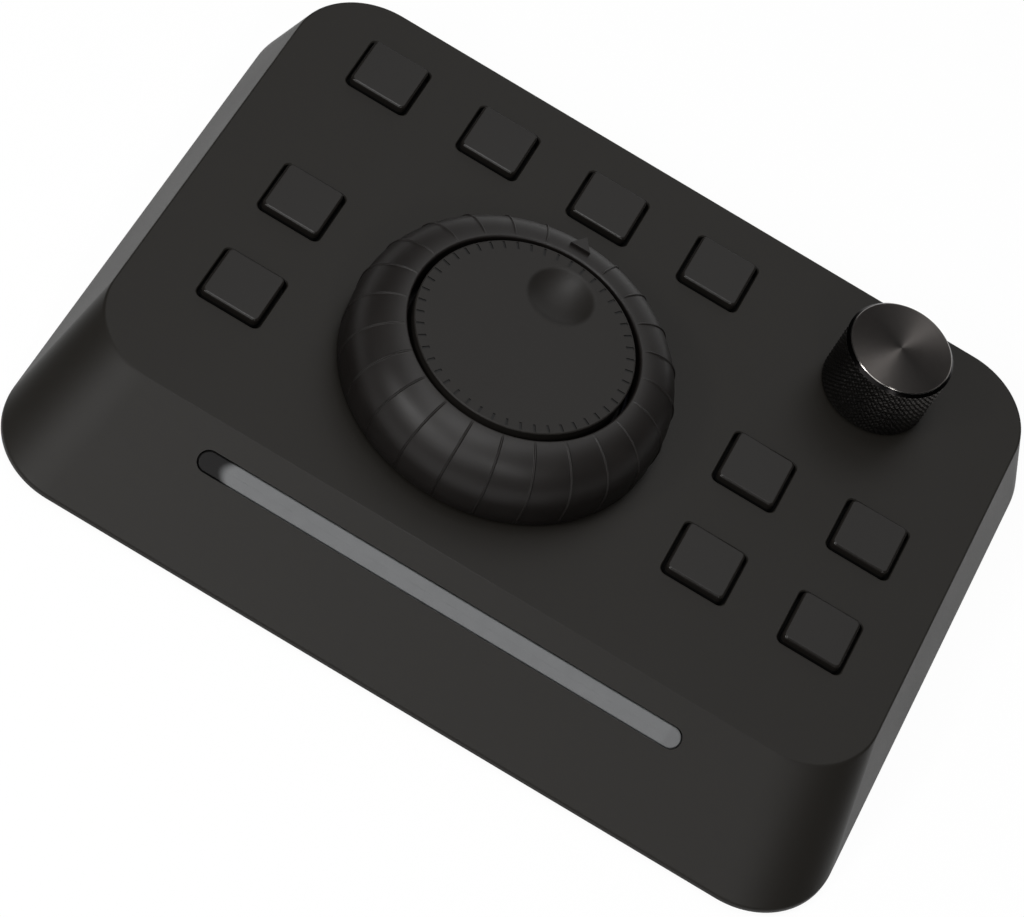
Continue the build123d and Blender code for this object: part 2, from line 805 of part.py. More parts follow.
# Return spring: a flat strip wound in half turns from the spindle out to the hub's rim
spring_start = spindle_radius + spring_gap + spring_thickness / 2
spring_end = hub_rim_inner - spring_thickness / 2
spring_step = (spring_end - spring_start) / spring_half_turns
spring_plane = Plane((*wheel_spot, panel_z + spring_bottom))
with BuildPart() as shuttle_spring:
    with BuildSketch(spring_plane):
        with BuildLine():
            for index in range(spring_half_turns):
                side = 1 - 2 * (index % 2)
                arc_radius = spring_start + spring_step * (index + 1 / 2)
                CenterArc((-side * spring_step / 2, 0), arc_radius, 90 - 90 * side, 180)
        trace(line_width=spring_thickness)
    extrude(amount=spring_height)
finish(shuttle_spring.part, "shuttle_spring")

# Jog dial: shallow cup with an engraved scale and a round finger dimple
dial_floor = dial_height - dial_thickness
dial_boss_radius = shaft_radius + dial_boss_wall
dimple_ball = (dimple_radius**2 + dimple_depth**2) / (2 * dimple_depth)
dimple_offset = dial_radius - dimple_edge_gap - dimple_radius
dimple_spot = polar_spot(wheel_spot, dimple_offset, dimple_angle)
with BuildPart() as jog_dial:
    with BuildSketch(wheel_plane):
        with BuildLine():
            Polyline(
                (0, dial_height),
                (dial_radius, dial_height),
                (dial_radius, dial_skirt_bottom),
                (dial_radius - dial_skirt_wall, dial_skirt_bottom),
                (dial_radius - dial_skirt_wall, dial_floor),
                (dial_boss_radius, dial_floor),
                (dial_boss_radius, dial_boss_bottom),
                (shaft_radius, dial_boss_bottom),
                (shaft_radius, shaft_top),
                (0, shaft_top),
                close=True,
            )
        make_face()
    revolve(axis=wheel_axis)
    fillet(jog_dial.edges().group_by(Axis.Z)[-1], dial_edge_round)
    with Locations((*dimple_spot, panel_z + dial_height + dimple_ball - dimple_depth)):
        Sphere(dimple_ball, mode=Mode.SUBTRACT)
    fillet(jog_dial.faces().sort_by(Axis.Z)[-1].inner_wires().edges(), dimple_round)
    with BuildSketch(Plane((*wheel_spot, panel_z + dial_height))):
        with PolarLocations(dial_radius - tick_edge_gap - tick_length / 2, tick_count):
            Rectangle(tick_length, tick_width)
    extrude(amount=-tick_depth, mode=Mode.SUBTRACT)
finish(jog_dial.part, "jog_dial")

# Shaft of the dial, held below the spindle by a clip
with BuildPart() as jog_shaft:
    with BuildSketch(wheel_plane):
        with BuildLine():
            Polyline(
                (0, shaft_bottom),
                (shaft_radius, shaft_bottom),
                (shaft_radius, jog_clip_bottom),
                (jog_clip_inner, jog_clip_bottom),
                (jog_clip_inner, jog_clip_top),
                (shaft_radius, jog_clip_top),
                (shaft_radius, shaft_top),
                (0, shaft_top),
                close=True,
            )
        make_face()
    revolve(axis=wheel_axis)
finish(jog_shaft.part, "jog_shaft")

with BuildPart() as jog_clip:
    with BuildSketch(Plane.XY.offset(panel_z + jog_clip_bottom)):
        with Locations(wheel_spot):
            Circle(shaft_radius + jog_clip_overhang)
            Circle(jog_clip_inner, mode=Mode.SUBTRACT)
    extrude(amount=jog_clip_thickness)
finish(jog_clip.part, "jog_clip")

# Magnet on the shaft's end and the angle sensor below it
jog_sensor_top_z = board_top_z + jog_sensor_height
jog_magnet_z = jog_sensor_top_z + jog_magnet_gap
with BuildPart() as jog_magnet:
    with BuildSketch(Plane.XY.offset(jog_magnet_z)):
        with Locations(wheel_spot):
            Circle(shaft_radius)
    extrude(amount=panel_z + shaft_bottom - jog_magnet_z)
finish(jog_magnet.part, "jog_magnet")

with BuildPart() as jog_sensor:
    with BuildSketch(Plane.XY.offset(board_top_z)):
        with Locations(wheel_spot):
            Rectangle(jog_sensor_size, jog_sensor_size)
    extrude(amount=jog_sensor_height)
finish(jog_sensor.part, "jog_sensor")

# Sensor board of the shuttle, fixed under the panel below the ring magnet
magnet_middle = (magnet_ring_inner + magnet_ring_outer) / 2
shuttle_sensor_spot = polar_spot(wheel_spot, magnet_middle, shuttle_sensor_angle)
with BuildPart() as shuttle_sensor:
    with BuildSketch(Plane.XY.offset(ceiling_z)):
        with Locations(shuttle_sensor_spot):
            Rectangle(shuttle_sensor_width, shuttle_sensor_depth)
    extrude(amount=-shuttle_sensor_thickness)
    with BuildSketch(Plane.XY.offset(ceiling_z - shuttle_sensor_thickness)):
        with Locations(shuttle_sensor_spot):
            Rectangle(hall_chip_size, hall_chip_size)
    extrude(amount=-hall_chip_height)
finish(shuttle_sensor.part, "shuttle_sensor")

# Encoder under the knob: a box on the board with a bushing through the panel
encoder_floor_z = ceiling_z - knob_shaft_in_body
with BuildPart() as encoder_body:
    with BuildSketch(Plane.XY.offset(board_top_z)):
        with Locations(knob_spot):
            RectangleRounded(encoder_size, encoder_size, encoder_corner)
    extrude(amount=ceiling_z - board_top_z)
    with BuildSketch(Plane.XY.offset(ceiling_z)):
        with Locations(knob_spot):
            Circle(bushing_radius)
    extrude(amount=panel_thickness + bushing_height)
    with BuildSketch(Plane.XY.offset(encoder_floor_z)):
        with Locations(knob_spot):
            Circle(knob_shaft_radius + knob_shaft_fit)
    extrude(amount=knob_shaft_in_body + panel_thickness + bushing_height, mode=Mode.SUBTRACT)
finish(encoder_body.part, "encoder_body")

with BuildPart() as encoder_washer:
    with BuildSketch(Plane.XY.offset(panel_z)):
        with Locations(knob_spot):
            Circle(washer_radius)
            Circle(bushing_radius, mode=Mode.SUBTRACT)
    extrude(amount=washer_thickness)
finish(encoder_washer.part, "encoder_washer")

with BuildPart() as encoder_nut:
    with BuildSketch(Plane.XY.offset(panel_z + washer_thickness)):
        with Locations(knob_spot):
            RegularPolygon(hexagon_radius(encoder_nut_flats), 6)
            Circle(bushing_radius, mode=Mode.SUBTRACT)
    extrude(amount=encoder_nut_height)
finish(encoder_nut.part, "encoder_nut")

# Shaft of the encoder: round in the bushing, with a flat inside the knob
knob_recess_top = knob_panel_gap + knob_recess_depth
knob_shaft_top = knob_height - knob_bore_roof
flat_depth = knob_shaft_radius - knob_shaft_flat


def flatted_section(z):
    with BuildSketch(Plane.XY.offset(z)) as section:
        with Locations(knob_spot):
            Circle(knob_shaft_radius)
        with Locations((knob_spot[0], knob_spot[1] + knob_shaft_flat + flat_depth / 2)):
            Rectangle(2 * knob_shaft_radius, flat_depth, mode=Mode.SUBTRACT)
    return section.sketch


with BuildPart() as encoder_shaft:
    with BuildSketch(Plane.XY.offset(encoder_floor_z + knob_shaft_end_gap)):
        with Locations(knob_spot):
            Circle(knob_shaft_radius)
    extrude(amount=panel_z + knob_recess_top - encoder_floor_z - knob_shaft_end_gap)
    extrude(flatted_section(panel_z + knob_recess_top), amount=knob_shaft_top - knob_recess_top)
finish(encoder_shaft.part, "encoder_shaft")

# Knob: turned cap with a ledge below the band, and a bright chamfer round its face
knob_plane = turning_plane(knob_spot, panel_z)
knob_band_radius = knob_radius - knob_band_step
knob_face_radius = knob_band_radius - knob_top_chamfer
knob_band_bottom = knob_height - knob_band_height
knob_recess_radius = max(washer_radius, hexagon_radius(encoder_nut_flats)) + knob_recess_gap
with BuildPart() as control_knob:
    with BuildSketch(knob_plane):
        with BuildLine():
            Polyline(
                (0, knob_height),
                (knob_face_radius, knob_height),
                (knob_band_radius, knob_height - knob_top_chamfer),
                (knob_band_radius, knob_band_bottom),
                (knob_radius, knob_band_bottom - knob_ledge_height),
                (knob_radius, knob_panel_gap + knob_bottom_chamfer),
                (knob_radius - knob_bottom_chamfer, knob_panel_gap),
                (knob_recess_radius, knob_panel_gap),
                (knob_recess_radius, knob_recess_top),
                (0, knob_recess_top),
                close=True,
            )
        make_face()
    revolve(axis=upright_axis(knob_spot))
    extrude(
        flatted_section(panel_z + knob_recess_top),
        amount=knob_shaft_top - knob_recess_top,
        mode=Mode.SUBTRACT,
    )
finish(control_knob.part, "control_knob")
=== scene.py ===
import bmesh
import bpy
import json
import math
from mathutils import Matrix, Vector

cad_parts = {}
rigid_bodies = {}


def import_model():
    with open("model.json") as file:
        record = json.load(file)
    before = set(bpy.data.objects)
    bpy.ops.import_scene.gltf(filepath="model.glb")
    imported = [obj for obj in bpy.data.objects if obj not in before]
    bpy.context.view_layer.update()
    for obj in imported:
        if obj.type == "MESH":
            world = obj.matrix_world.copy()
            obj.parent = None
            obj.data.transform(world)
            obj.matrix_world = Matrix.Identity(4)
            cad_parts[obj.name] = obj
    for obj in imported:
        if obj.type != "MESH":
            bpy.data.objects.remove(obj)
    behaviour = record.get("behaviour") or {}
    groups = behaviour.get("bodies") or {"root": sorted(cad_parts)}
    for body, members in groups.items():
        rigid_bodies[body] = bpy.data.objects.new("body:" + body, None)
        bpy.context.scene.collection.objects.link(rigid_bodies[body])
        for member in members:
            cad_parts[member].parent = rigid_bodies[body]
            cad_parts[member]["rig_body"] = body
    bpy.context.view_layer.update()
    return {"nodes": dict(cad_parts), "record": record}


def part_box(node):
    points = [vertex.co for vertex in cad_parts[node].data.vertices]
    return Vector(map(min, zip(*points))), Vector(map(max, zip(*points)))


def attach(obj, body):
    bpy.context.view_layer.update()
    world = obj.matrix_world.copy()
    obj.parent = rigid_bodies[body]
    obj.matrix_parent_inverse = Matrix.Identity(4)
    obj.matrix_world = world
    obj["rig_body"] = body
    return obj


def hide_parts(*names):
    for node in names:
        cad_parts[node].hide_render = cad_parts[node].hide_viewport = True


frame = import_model()
nodes = frame["nodes"]
scene = bpy.context.scene
mm = 0.001
samePoint = 1e-6  # metres, points closer than this are one
sameLevel = 1e-7
hair = 0.01  # millimetres, to tell a surface from its neighbour
print("frame loaded:", len(nodes), "nodes")


# shader maths

class Flow:
    def __init__(self, tree, socket=None):
        self.tree = tree
        self.socket = socket

    def node(self, kind, settings=None, sockets=None, out=0):
        made = self.tree.nodes.new("ShaderNode" + kind)
        for name, value in (settings or {}).items():
            setattr(made, name, value)
        for name, value in (sockets or {}).items():
            if isinstance(value, Flow):
                self.tree.links.new(value.socket, made.inputs[name])
            else:
                made.inputs[name].default_value = value
        return Flow(self.tree, made.outputs[out])

    def sibling(self, name):  # another output of the same node
        return Flow(self.tree, self.socket.node.outputs[name])

    def maths(self, operation, first, second=0.0):
        return self.node("Math", {"operation": operation}, {0: first, 1: second})

    def __add__(self, other):
        return self.maths("ADD", self, other)

    def __sub__(self, other):
        return self.maths("SUBTRACT", self, other)

    def __rsub__(self, other):
        return self.maths("SUBTRACT", other, self)

    def __mul__(self, other):
        return self.maths("MULTIPLY", self, other)

    def __lt__(self, other):
        return self.maths("LESS_THAN", self, other)

    def __gt__(self, other):
        return self.maths("GREATER_THAN", self, other)

    def __abs__(self):
        return self.maths("ABSOLUTE", self)

    __radd__ = __add__
    __rmul__ = __mul__

    def ease(self, low, high):  # 0 below low, 1 above high, soft between
        limits = {"Value": self, "From Min": low, "From Max": high}
        return self.node("MapRange", {"interpolation_type": "SMOOTHSTEP"}, limits)

    def tint(self, dark, light):  # this value mixes two colours
        return self.node("Mix", {"data_type": "RGBA"}, {0: self, 6: dark, 7: light}, out=2)


def tone(red, green, blue):  # a screen colour, 0 to 255, as the renderer counts it
    parts = [part / 255 for part in (red, green, blue)]
    return tuple(((part + 0.055) / 1.055) ** 2.4 if part > 0.04 else part / 12.92 for part in parts) + (1.0,)


def newFinish(name, **fixed):
    finish = bpy.data.materials.new(name)
    finish.use_nodes = True
    shader = finish.node_tree.nodes["Principled BSDF"]
    for socket, value in fixed.items():
        shader.inputs[socket.replace("_", " ")].default_value = value
    coords = Flow(finish.node_tree).node("TexCoord", out="Object")
    return finish, shader, coords


def feed(shader, socket, value):
    value.tree.links.new(value.socket, shader.inputs[socket])


def noise(coords, size, detail=2.0, rough=0.5):  # size of a blotch in metres
    sockets = {"Vector": coords, "Scale": 1 / size, "Detail": detail, "Roughness": rough}
    return coords.node("TexNoise", None, sockets)


def bump(height, depth):
    return height.node("Bump", None, {"Strength": 1.0, "Distance": depth, "Height": height})


def dust(coords, cell, share, size):  # a few specks of lint, one in some of the cells
    cells = coords.node("TexVoronoi", {"feature": "F1"}, {"Vector": coords, "Scale": 1 / cell})
    chance = coords.node("SeparateColor", None, {"Color": cells.sibling("Color")})
    return (cells < size / cell) * (chance < share)


def polar(coords, centre):  # radius, turn and height about an upright axis
    centred = coords.node("Mapping", None, {"Vector": coords, "Location": (-centre.x, -centre.y, 0)})
    east = centred.node("SeparateXYZ", None, {"Vector": centred})
    north = east.sibling("Y")
    radius = east.maths("SQRT", east * east + north * north)
    return radius, east.maths("ARCTAN2", north, east), east.sibling("Z")


# finishes

def mouldedFinish(name, look, marks=None, polish=None):
    finish, shader, coords = newFinish(name, Specular_IOR_Level=look["shine"])
    clouds = noise(coords, look["cloud"] * mm, detail=3.0)
    grain = noise(coords, look["grain"] * mm, detail=2.0, rough=0.6)
    flecks = dust(coords, look["dustCell"] * mm, look["dustShare"], look["dustSize"] * mm)
    mottle = clouds * look["cloudShare"] + grain * (1 - look["cloudShare"])
    base = mottle.tint(look["dark"], look["light"])
    base = (flecks * look["dustTone"]).tint(base, look["dustColour"])
    if marks:
        base = marks(coords).tint(base, look["ink"])
    feed(shader, "Base Color", base)
    rough = look["rough"] + (clouds - 0.5) * look["roughSpread"] + (grain - 0.5) * look["grainRough"]
    if polish:
        rough = rough - polish(coords) * look["polish"]
    feed(shader, "Roughness", rough)
    feed(shader, "Normal", bump(grain, look["grainDepth"] * mm))
    return finish


shellLook = dict(dark=tone(24, 22, 19), light=tone(30, 28, 25), ink=tone(9, 9, 9), shine=0.22, rough=0.46,
                 roughSpread=0.08, cloud=26, cloudShare=0.7, grain=0.35, grainDepth=0.012, grainRough=0.1,
                 dustCell=14, dustShare=0.16, dustSize=0.16, dustTone=0.5, dustColour=tone(190, 185, 178))
keyLook = dict(shellLook, dark=tone(23, 21, 19), light=tone(29, 27, 25), rough=0.33, grain=0.3,
               grainDepth=0.006, dustShare=0.1, polish=0.19)
dialLook = dict(shellLook, dark=tone(26, 24, 22), light=tone(32, 30, 28), grain=0.25, grainDepth=0.01,
                dustShare=0.3, dustCell=11, dustSize=0.14, polish=0.05)
gripLook = dict(shellLook, dark=tone(18, 15, 14), light=tone(25, 22, 20), shine=0.34, rough=0.44,
                roughSpread=0.12, cloud=7, grain=0.4, grainDepth=0.008, dustShare=0.22, dustCell=9,
                dustSize=0.13)
# painted shade: a near-black finish for the shaded insides of the key wells
wellShadeLook = dict(shellLook, dark=tone(6, 6, 6), light=tone(11, 11, 11), shine=0.1, rough=0.8, dustShare=0.0)
coverLook = dict(shellLook, dark=tone(24, 23, 22), light=tone(31, 30, 29), grain=0.7,
                 grainDepth=0.03, rough=0.6)
partLook = dict(shellLook, dark=tone(14, 14, 14), light=tone(22, 21, 21), grain=0.5, rough=0.5,
                dustShare=0.0)
boardLook = dict(shellLook, dark=tone(14, 62, 36), light=tone(24, 84, 50), grain=0.9, rough=0.4,
                 dustShare=0.0)
footLook = dict(coverLook, dark=tone(22, 22, 22), light=tone(31, 30, 30), rough=0.75, shine=0.3)

shellFinish = mouldedFinish("soft_shell", shellLook)
gripFinish = mouldedFinish("grip_rubber", gripLook)
wellShadeFinish = mouldedFinish("painted_well_shade", wellShadeLook)
coverFinish = mouldedFinish("cover_plastic", coverLook)
partFinish = mouldedFinish("inner_plastic", partLook)
boardFinish = mouldedFinish("board_mask", boardLook)
footFinish = mouldedFinish("foot_rubber", footLook)

metalLook = dict(detail=4.0, detailRough=0.65, roughSpread=0.2, grainDepth=0.004)


def metalFinish(name, dark, light, rough, grain):
    finish, shader, coords = newFinish(name, Metallic=1.0)
    streaks = noise(coords, grain * mm, metalLook["detail"], metalLook["detailRough"])
    feed(shader, "Base Color", streaks.tint(dark, light))
    feed(shader, "Roughness", rough + (streaks - 0.5) * metalLook["roughSpread"])
    feed(shader, "Normal", bump(streaks, metalLook["grainDepth"] * mm))
    return finish


steelFinish = metalFinish("bright_steel", tone(150, 150, 152), tone(186, 186, 188), rough=0.32, grain=0.5)
springFinish = metalFinish("blued_spring", tone(22, 22, 26), tone(36, 36, 42), rough=0.45, grain=0.5)
brassFinish = metalFinish("turned_brass", tone(168, 134, 70), tone(200, 164, 92), rough=0.35, grain=0.6)
magnetFinish = metalFinish("dark_magnet", tone(70, 70, 72), tone(94, 94, 96), rough=0.45, grain=0.5)

slotFinish = dict(housing_plastic=shellFinish, cover_plastic=coverFinish, foot_rubber=footFinish,
                  steel=steelFinish, circuit_board=boardFinish, component_plastic=partFinish,
                  brass_parts=brassFinish, magnet=magnetFinish, hub_plastic=partFinish,
                  key_plastic=partFinish, grip_rubber=gripFinish, dial_plastic=partFinish,
                  knob_metal=magnetFinish, diffuser=partFinish, lamp_plastic=partFinish)
slotOf = {entry["node"]: entry["material_slot"] for entry in frame["record"]["subparts"]}
for name, node in nodes.items():
    node.data.materials.clear()
    node.data.materials.append(springFinish if name == "shuttle_spring" else slotFinish[slotOf[name]])
print("finishes made:", len(bpy.data.materials))


# mesh helpers

def middle(name):
    low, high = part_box(name)
    return (low + high) / 2


def objectFrom(name, bm):
    bmesh.ops.remove_doubles(bm, verts=bm.verts, dist=samePoint)
    bmesh.ops.recalc_face_normals(bm, faces=bm.faces)
    mesh = bpy.data.meshes.new(name)
    bm.to_mesh(mesh)
    bm.free()
    piece = bpy.data.objects.new(name, mesh)
    scene.collection.objects.link(piece)
    return piece


def settle(piece, replaced, finish, sharp=32):
    piece.data.materials.clear()
    piece.data.materials.append(finish)
    piece.data.shade_smooth()
    piece.data.set_sharp_from_angle(angle=math.radians(sharp))
    weighted = piece.modifiers.new("flat_faces_first", "WEIGHTED_NORMAL")
    weighted.keep_sharp = True
    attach(piece, nodes[replaced]["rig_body"])
    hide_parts(replaced)
    return piece


def paintWellShade(piece, below, spots, reach):  # painted shade: the near-black well finish on faces low down round these spots
    piece.data.materials.append(wellShadeFinish)
    for face in piece.data.polygons:
        if face.center.z < below:
            offsets = [face.center - spot for spot in spots]
            face.material_index = int(any(max(abs(away.x), abs(away.y)) < reach for away in offsets))


def roundCorners(bm, corners, radius, steps):
    bmesh.ops.bevel(bm, geom=corners, offset=radius, offset_type="OFFSET", affect="VERTICES",
                    segments=steps, profile=0.5, material=-1, clamp_overlap=False)


def roundEdges(bm, edges, radius, steps):
    bmesh.ops.bevel(bm, geom=edges, offset=radius, offset_type="OFFSET", affect="EDGES",
                    segments=steps, profile=0.5, material=-1, clamp_overlap=False)


def flatFace(bm, z):  # the face that lies level at this height
    return next(face for face in bm.faces if all(abs(vert.co.z - z) < sameLevel for vert in face.verts))


def outline(bm, halfWidth, front, back, z, frontCorner, backCorner, steps):
    spots = ((-halfWidth, front), (halfWidth, front), (halfWidth, back), (-halfWidth, back))
    corners = [bm.verts.new((x, y, z)) for x, y in spots]
    bm.faces.new(corners)
    roundCorners(bm, corners[:2], frontCorner, steps)
    backPair = [vert for vert in flatFace(bm, z).verts if abs(vert.co.y - back) < sameLevel
                and abs(abs(vert.co.x) - halfWidth) < sameLevel]
    roundCorners(bm, backPair, backCorner, steps)
    return flatFace(bm, z)


def riseTo(bm, face, lift, spread=1.0):  # extrude a level face up, and spread it about its middle
    onWalls = any(len(edge.link_faces) > 1 for edge in face.edges)
    grown = bmesh.ops.extrude_face_region(bm, geom=[face])
    if onWalls:
        bmesh.ops.delete(bm, geom=[face], context="FACES_ONLY")
    top = next(item for item in grown["geom"] if isinstance(item, bmesh.types.BMFace))
    centre = top.calc_center_median()
    bmesh.ops.translate(bm, verts=top.verts, vec=(0, 0, lift))
    bmesh.ops.scale(bm, verts=top.verts, vec=(spread, spread, 1), space=Matrix.Translation(-centre))
    return top


def block(bm, centre, width, depth, low, high, corner, steps):
    start = outline(bm, width / 2, -depth / 2, depth / 2, low, corner, corner, steps)
    bmesh.ops.translate(bm, verts=start.verts, vec=(centre.x, centre.y, 0))
    return riseTo(bm, start, high - low)


def stadium(bm, length, width, low, high, steps):
    nearlyHalf = width / 2 * 0.9999  # a full half would leave the corners no straight edge between them
    return block(bm, Vector((0, 0, 0)), length, width, low, high, nearlyHalf, steps)


def upright(bm, points, centre):  # a line of radius and height, standing on the axis' +X side
    verts = [bm.verts.new((centre.x + radius, centre.y, height)) for radius, height in points]
    return verts + [bm.edges.new(pair) for pair in zip(verts, verts[1:])]


def sweep(bm, geom, centre, degrees, steps, copies=False):
    spun = bmesh.ops.spin(bm, geom=geom, cent=(centre.x, centre.y, 0), axis=(0, 0, 1),
                          angle=math.radians(degrees), steps=steps, use_merge=False, use_duplicate=copies)
    return spun["geom_last"]


def turned(bm, points, centre, steps, sectors=8):  # one sector is swept, and then copied round
    oneBm = bmesh.new()
    sweep(oneBm, upright(oneBm, points, centre), centre, 360 / sectors, steps // sectors)
    sector = list(oneBm.verts) + list(oneBm.edges) + list(oneBm.faces)
    sweep(oneBm, sector, centre, 360 - 360 / sectors, sectors - 1, True)
    bmesh.ops.remove_doubles(oneBm, verts=oneBm.verts, dist=samePoint)
    join(bm, oneBm)


def join(bm, oneBm):
    oneMesh = bpy.data.meshes.new("one")
    oneBm.to_mesh(oneMesh)
    oneBm.free()
    bm.from_mesh(oneMesh)
    bpy.data.meshes.remove(oneMesh)


def arcPoints(centre, radius, start, end, steps):
    turns = [math.radians(start + (end - start) * index / steps) for index in range(steps + 1)]
    return [(centre[0] + radius * math.cos(turn), centre[1] + radius * math.sin(turn)) for turn in turns]


def carve(piece, cutters):
    for cutter in cutters:
        cut = piece.modifiers.new("cut", "BOOLEAN")
        cut.operation = "DIFFERENCE"
        cut.solver = "EXACT"
        cut.object = cutter
    graph = bpy.context.evaluated_depsgraph_get()
    carved = bpy.data.meshes.new_from_object(piece.evaluated_get(graph))
    piece.modifiers.clear()
    piece.data = carved
    for cutter in cutters:
        bpy.data.objects.remove(cutter)


# housing

housing = dict(lip=1.0, draft=5.63, frontRun=24.2, panelCorner=16.2, frontCorner=17.3, backCorner=21.8,
               wall=2.2, panelThickness=2.4, edgeRound=0.5, lipRound=0.8, lipShare=0.6, cornerSteps=28,
               roundSteps=7, hollowUnder=2.0)
shellLow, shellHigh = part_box("top_shell")
panelZ = shellHigh.z
lipZ = shellLow.z + housing["lip"] * mm
ceilingZ = panelZ - housing["panelThickness"] * mm
slopeRise = panelZ - lipZ
slopeAngle = math.atan2(slopeRise, housing["frontRun"] * mm)
ridgeY = shellLow.y + housing["frontRun"] * mm
sideWall = housing["wall"] * mm / math.cos(math.atan2(housing["draft"] * mm, slopeRise))
frontWall = housing["wall"] * mm / math.sin(slopeAngle)
wheelSpot = middle("jog_dial")
knobSpot = middle("control_knob")
keyNames = sorted(name for name in nodes if name.startswith("key_") and name != "key_switches")


def drawnIn(z, run):  # how far a wall has come in at a height, with its lip and top edge rounded
    lean = math.atan2(run, slopeRise)
    lipRound, edgeRound = housing["lipRound"] * mm, housing["edgeRound"] * mm
    lipReach = lipRound * math.tan(lean / 2)
    overLip = z - lipZ + lipReach
    drop = panelZ - z
    if overLip <= 0:
        return 0.0
    if overLip < lipRound * math.sin(lean):
        return lipRound - math.sqrt(lipRound ** 2 - overLip ** 2)
    if drop < edgeRound * (1 - math.sin(lean)):
        over = math.sqrt(max(edgeRound ** 2 - (edgeRound - drop) ** 2, 0.0))
        return run + edgeRound * math.tan((math.pi / 2 - lean) / 2) - over
    return run * (z - lipZ) / slopeRise


def wedgeLoop(bm, z, sideInset, frontInset):
    rise = max(z - lipZ, 0.0) / slopeRise
    inset = drawnIn(z, housing["draft"] * mm) + sideInset
    front = shellLow.y + drawnIn(z, housing["frontRun"] * mm) + frontInset
    frontCorner = (housing["frontCorner"] + (housing["panelCorner"] - housing["frontCorner"]) * rise) * mm
    backCorner = (housing["backCorner"] + (housing["panelCorner"] - housing["backCorner"]) * rise) * mm
    return outline(bm, shellHigh.x - inset, front, shellHigh.y - inset, z,
                   frontCorner - sideInset, backCorner - sideInset, housing["cornerSteps"])


def wedge(levels, sideInset, frontInset):
    bm = bmesh.new()
    loops = [list(wedgeLoop(bm, z, sideInset, frontInset).edges) for z in levels]
    bmesh.ops.delete(bm, geom=[flatFace(bm, z) for z in levels[1:-1]], context="FACES_ONLY")
    for lower, upper in zip(loops, loops[1:]):
        bmesh.ops.bridge_loops(bm, edges=lower + upper)
    return bm


lipSpan = housing["lipRound"] * mm * housing["lipShare"]
roundSteps = housing["roundSteps"]
levels = [shellLow.z] + [lipZ - lipSpan + 2 * lipSpan * step / roundSteps for step in range(roundSteps + 1)]
turns = [math.pi / 2 * (1 - step / roundSteps) for step in range(roundSteps + 1)]
levels += [panelZ - housing["edgeRound"] * mm * (1 - math.cos(turn)) for turn in turns]
shellPiece = objectFrom("housing_shell", wedge(levels, 0.0, 0.0))
hollowLevels = (shellLow.z - housing["hollowUnder"] * mm, lipZ, ceilingZ)
hollow = objectFrom("hollow", wedge(hollowLevels, sideWall, frontWall))

pocket = dict(size=14.0, corner=1.5, flare=0.22, flareDepth=0.22, over=0.4, under=1.0, steps=8, darkReach=0.1)
openingBm = bmesh.new()
for keyName in keyNames:
    oneBm = bmesh.new()
    sill = panelZ - pocket["flareDepth"] * mm
    top = block(oneBm, middle(keyName), pocket["size"] * mm, pocket["size"] * mm,
                ceilingZ - pocket["under"] * mm, sill, pocket["corner"] * mm, pocket["steps"])
    lift = pocket["flareDepth"] + pocket["over"]
    growth = pocket["flare"] * lift / pocket["flareDepth"]
    riseTo(oneBm, top, lift * mm, 1 + 2 * growth / pocket["size"])
    join(openingBm, oneBm)

holes = dict(spindle=8.3, bushing=3.7, depth=7.2, steps=64)
for spot, radius in ((wheelSpot, holes["spindle"]), (knobSpot, holes["bushing"])):
    place = Matrix.Translation((spot.x, spot.y, panelZ))
    bmesh.ops.create_cone(openingBm, cap_ends=True, segments=holes["steps"], radius1=radius * mm,
                          radius2=radius * mm, depth=holes["depth"] * mm, matrix=place)

bar = dict(length=104.7, width=4.1, gap=0.25, drop=7.7, steps=20, crown=0.3, crownSteps=4, flange=2.0,
           flangeThickness=0.6, slotDepth=5.5, slotOver=2.0)
barPlace = Matrix.Translation((0, ridgeY - bar["drop"] * mm * math.cos(slopeAngle),
                               panelZ - bar["drop"] * mm * math.sin(slopeAngle)))
barPlace = barPlace @ Matrix.Rotation(slopeAngle, 4, "X")
slotBm = bmesh.new()
stadium(slotBm, (bar["length"] + 2 * bar["gap"]) * mm, (bar["width"] + 2 * bar["gap"]) * mm,
        -bar["slotDepth"] * mm, bar["slotOver"] * mm, bar["steps"])
bmesh.ops.transform(slotBm, matrix=barPlace, verts=slotBm.verts)

inlet = dict(gap=0.35, reach=6.0, steps=14)
inletLow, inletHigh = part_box("usb_socket")
inletBm = bmesh.new()
inletGap = 2 * inlet["gap"] * mm
stadium(inletBm, inletHigh.x - inletLow.x + inletGap, inletHigh.z - inletLow.z + inletGap,
        -inlet["reach"] * mm, inlet["reach"] * mm, inlet["steps"])
inletPlace = Matrix.Translation((0, inletHigh.y, (inletLow.z + inletHigh.z) / 2))
bmesh.ops.transform(inletBm, matrix=inletPlace @ Matrix.Rotation(-math.pi / 2, 4, "X"), verts=inletBm.verts)

carve(shellPiece, [hollow, objectFrom("openings", openingBm), objectFrom("slot", slotBm),
                   objectFrom("inlet", inletBm)])
settle(shellPiece, "top_shell", shellFinish)
# painted shade: the pocket walls below the sill take the near-black well finish
paintWellShade(shellPiece, panelZ - pocket["flareDepth"] * mm, [middle(name) for name in keyNames],
       (pocket["size"] / 2 + pocket["darkReach"]) * mm)
print("housing carved:", len(shellPiece.data.polygons), "faces")


# keys

keyCap = dict(size=12.7, corner=1.2, crown=0.6, steps=6, crownSteps=5, flange=15.4, flangeThickness=1.0,
              stem=1.7, stemSteps=32, gapUnderPanel=0.3, lit=0.25, polishBlur=0.05)


def edgePolish(coords):  # the rounded edge of a cap is worn smoother than its top
    height = coords.node("SeparateXYZ", None, {"Vector": coords}, out="Z")
    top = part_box(keyNames[0])[1].z
    low = top - keyCap["crown"] * mm
    blur = keyCap["polishBlur"] * mm
    return height.ease(low - blur, low + blur) * (1 - height.ease(top - blur, top))


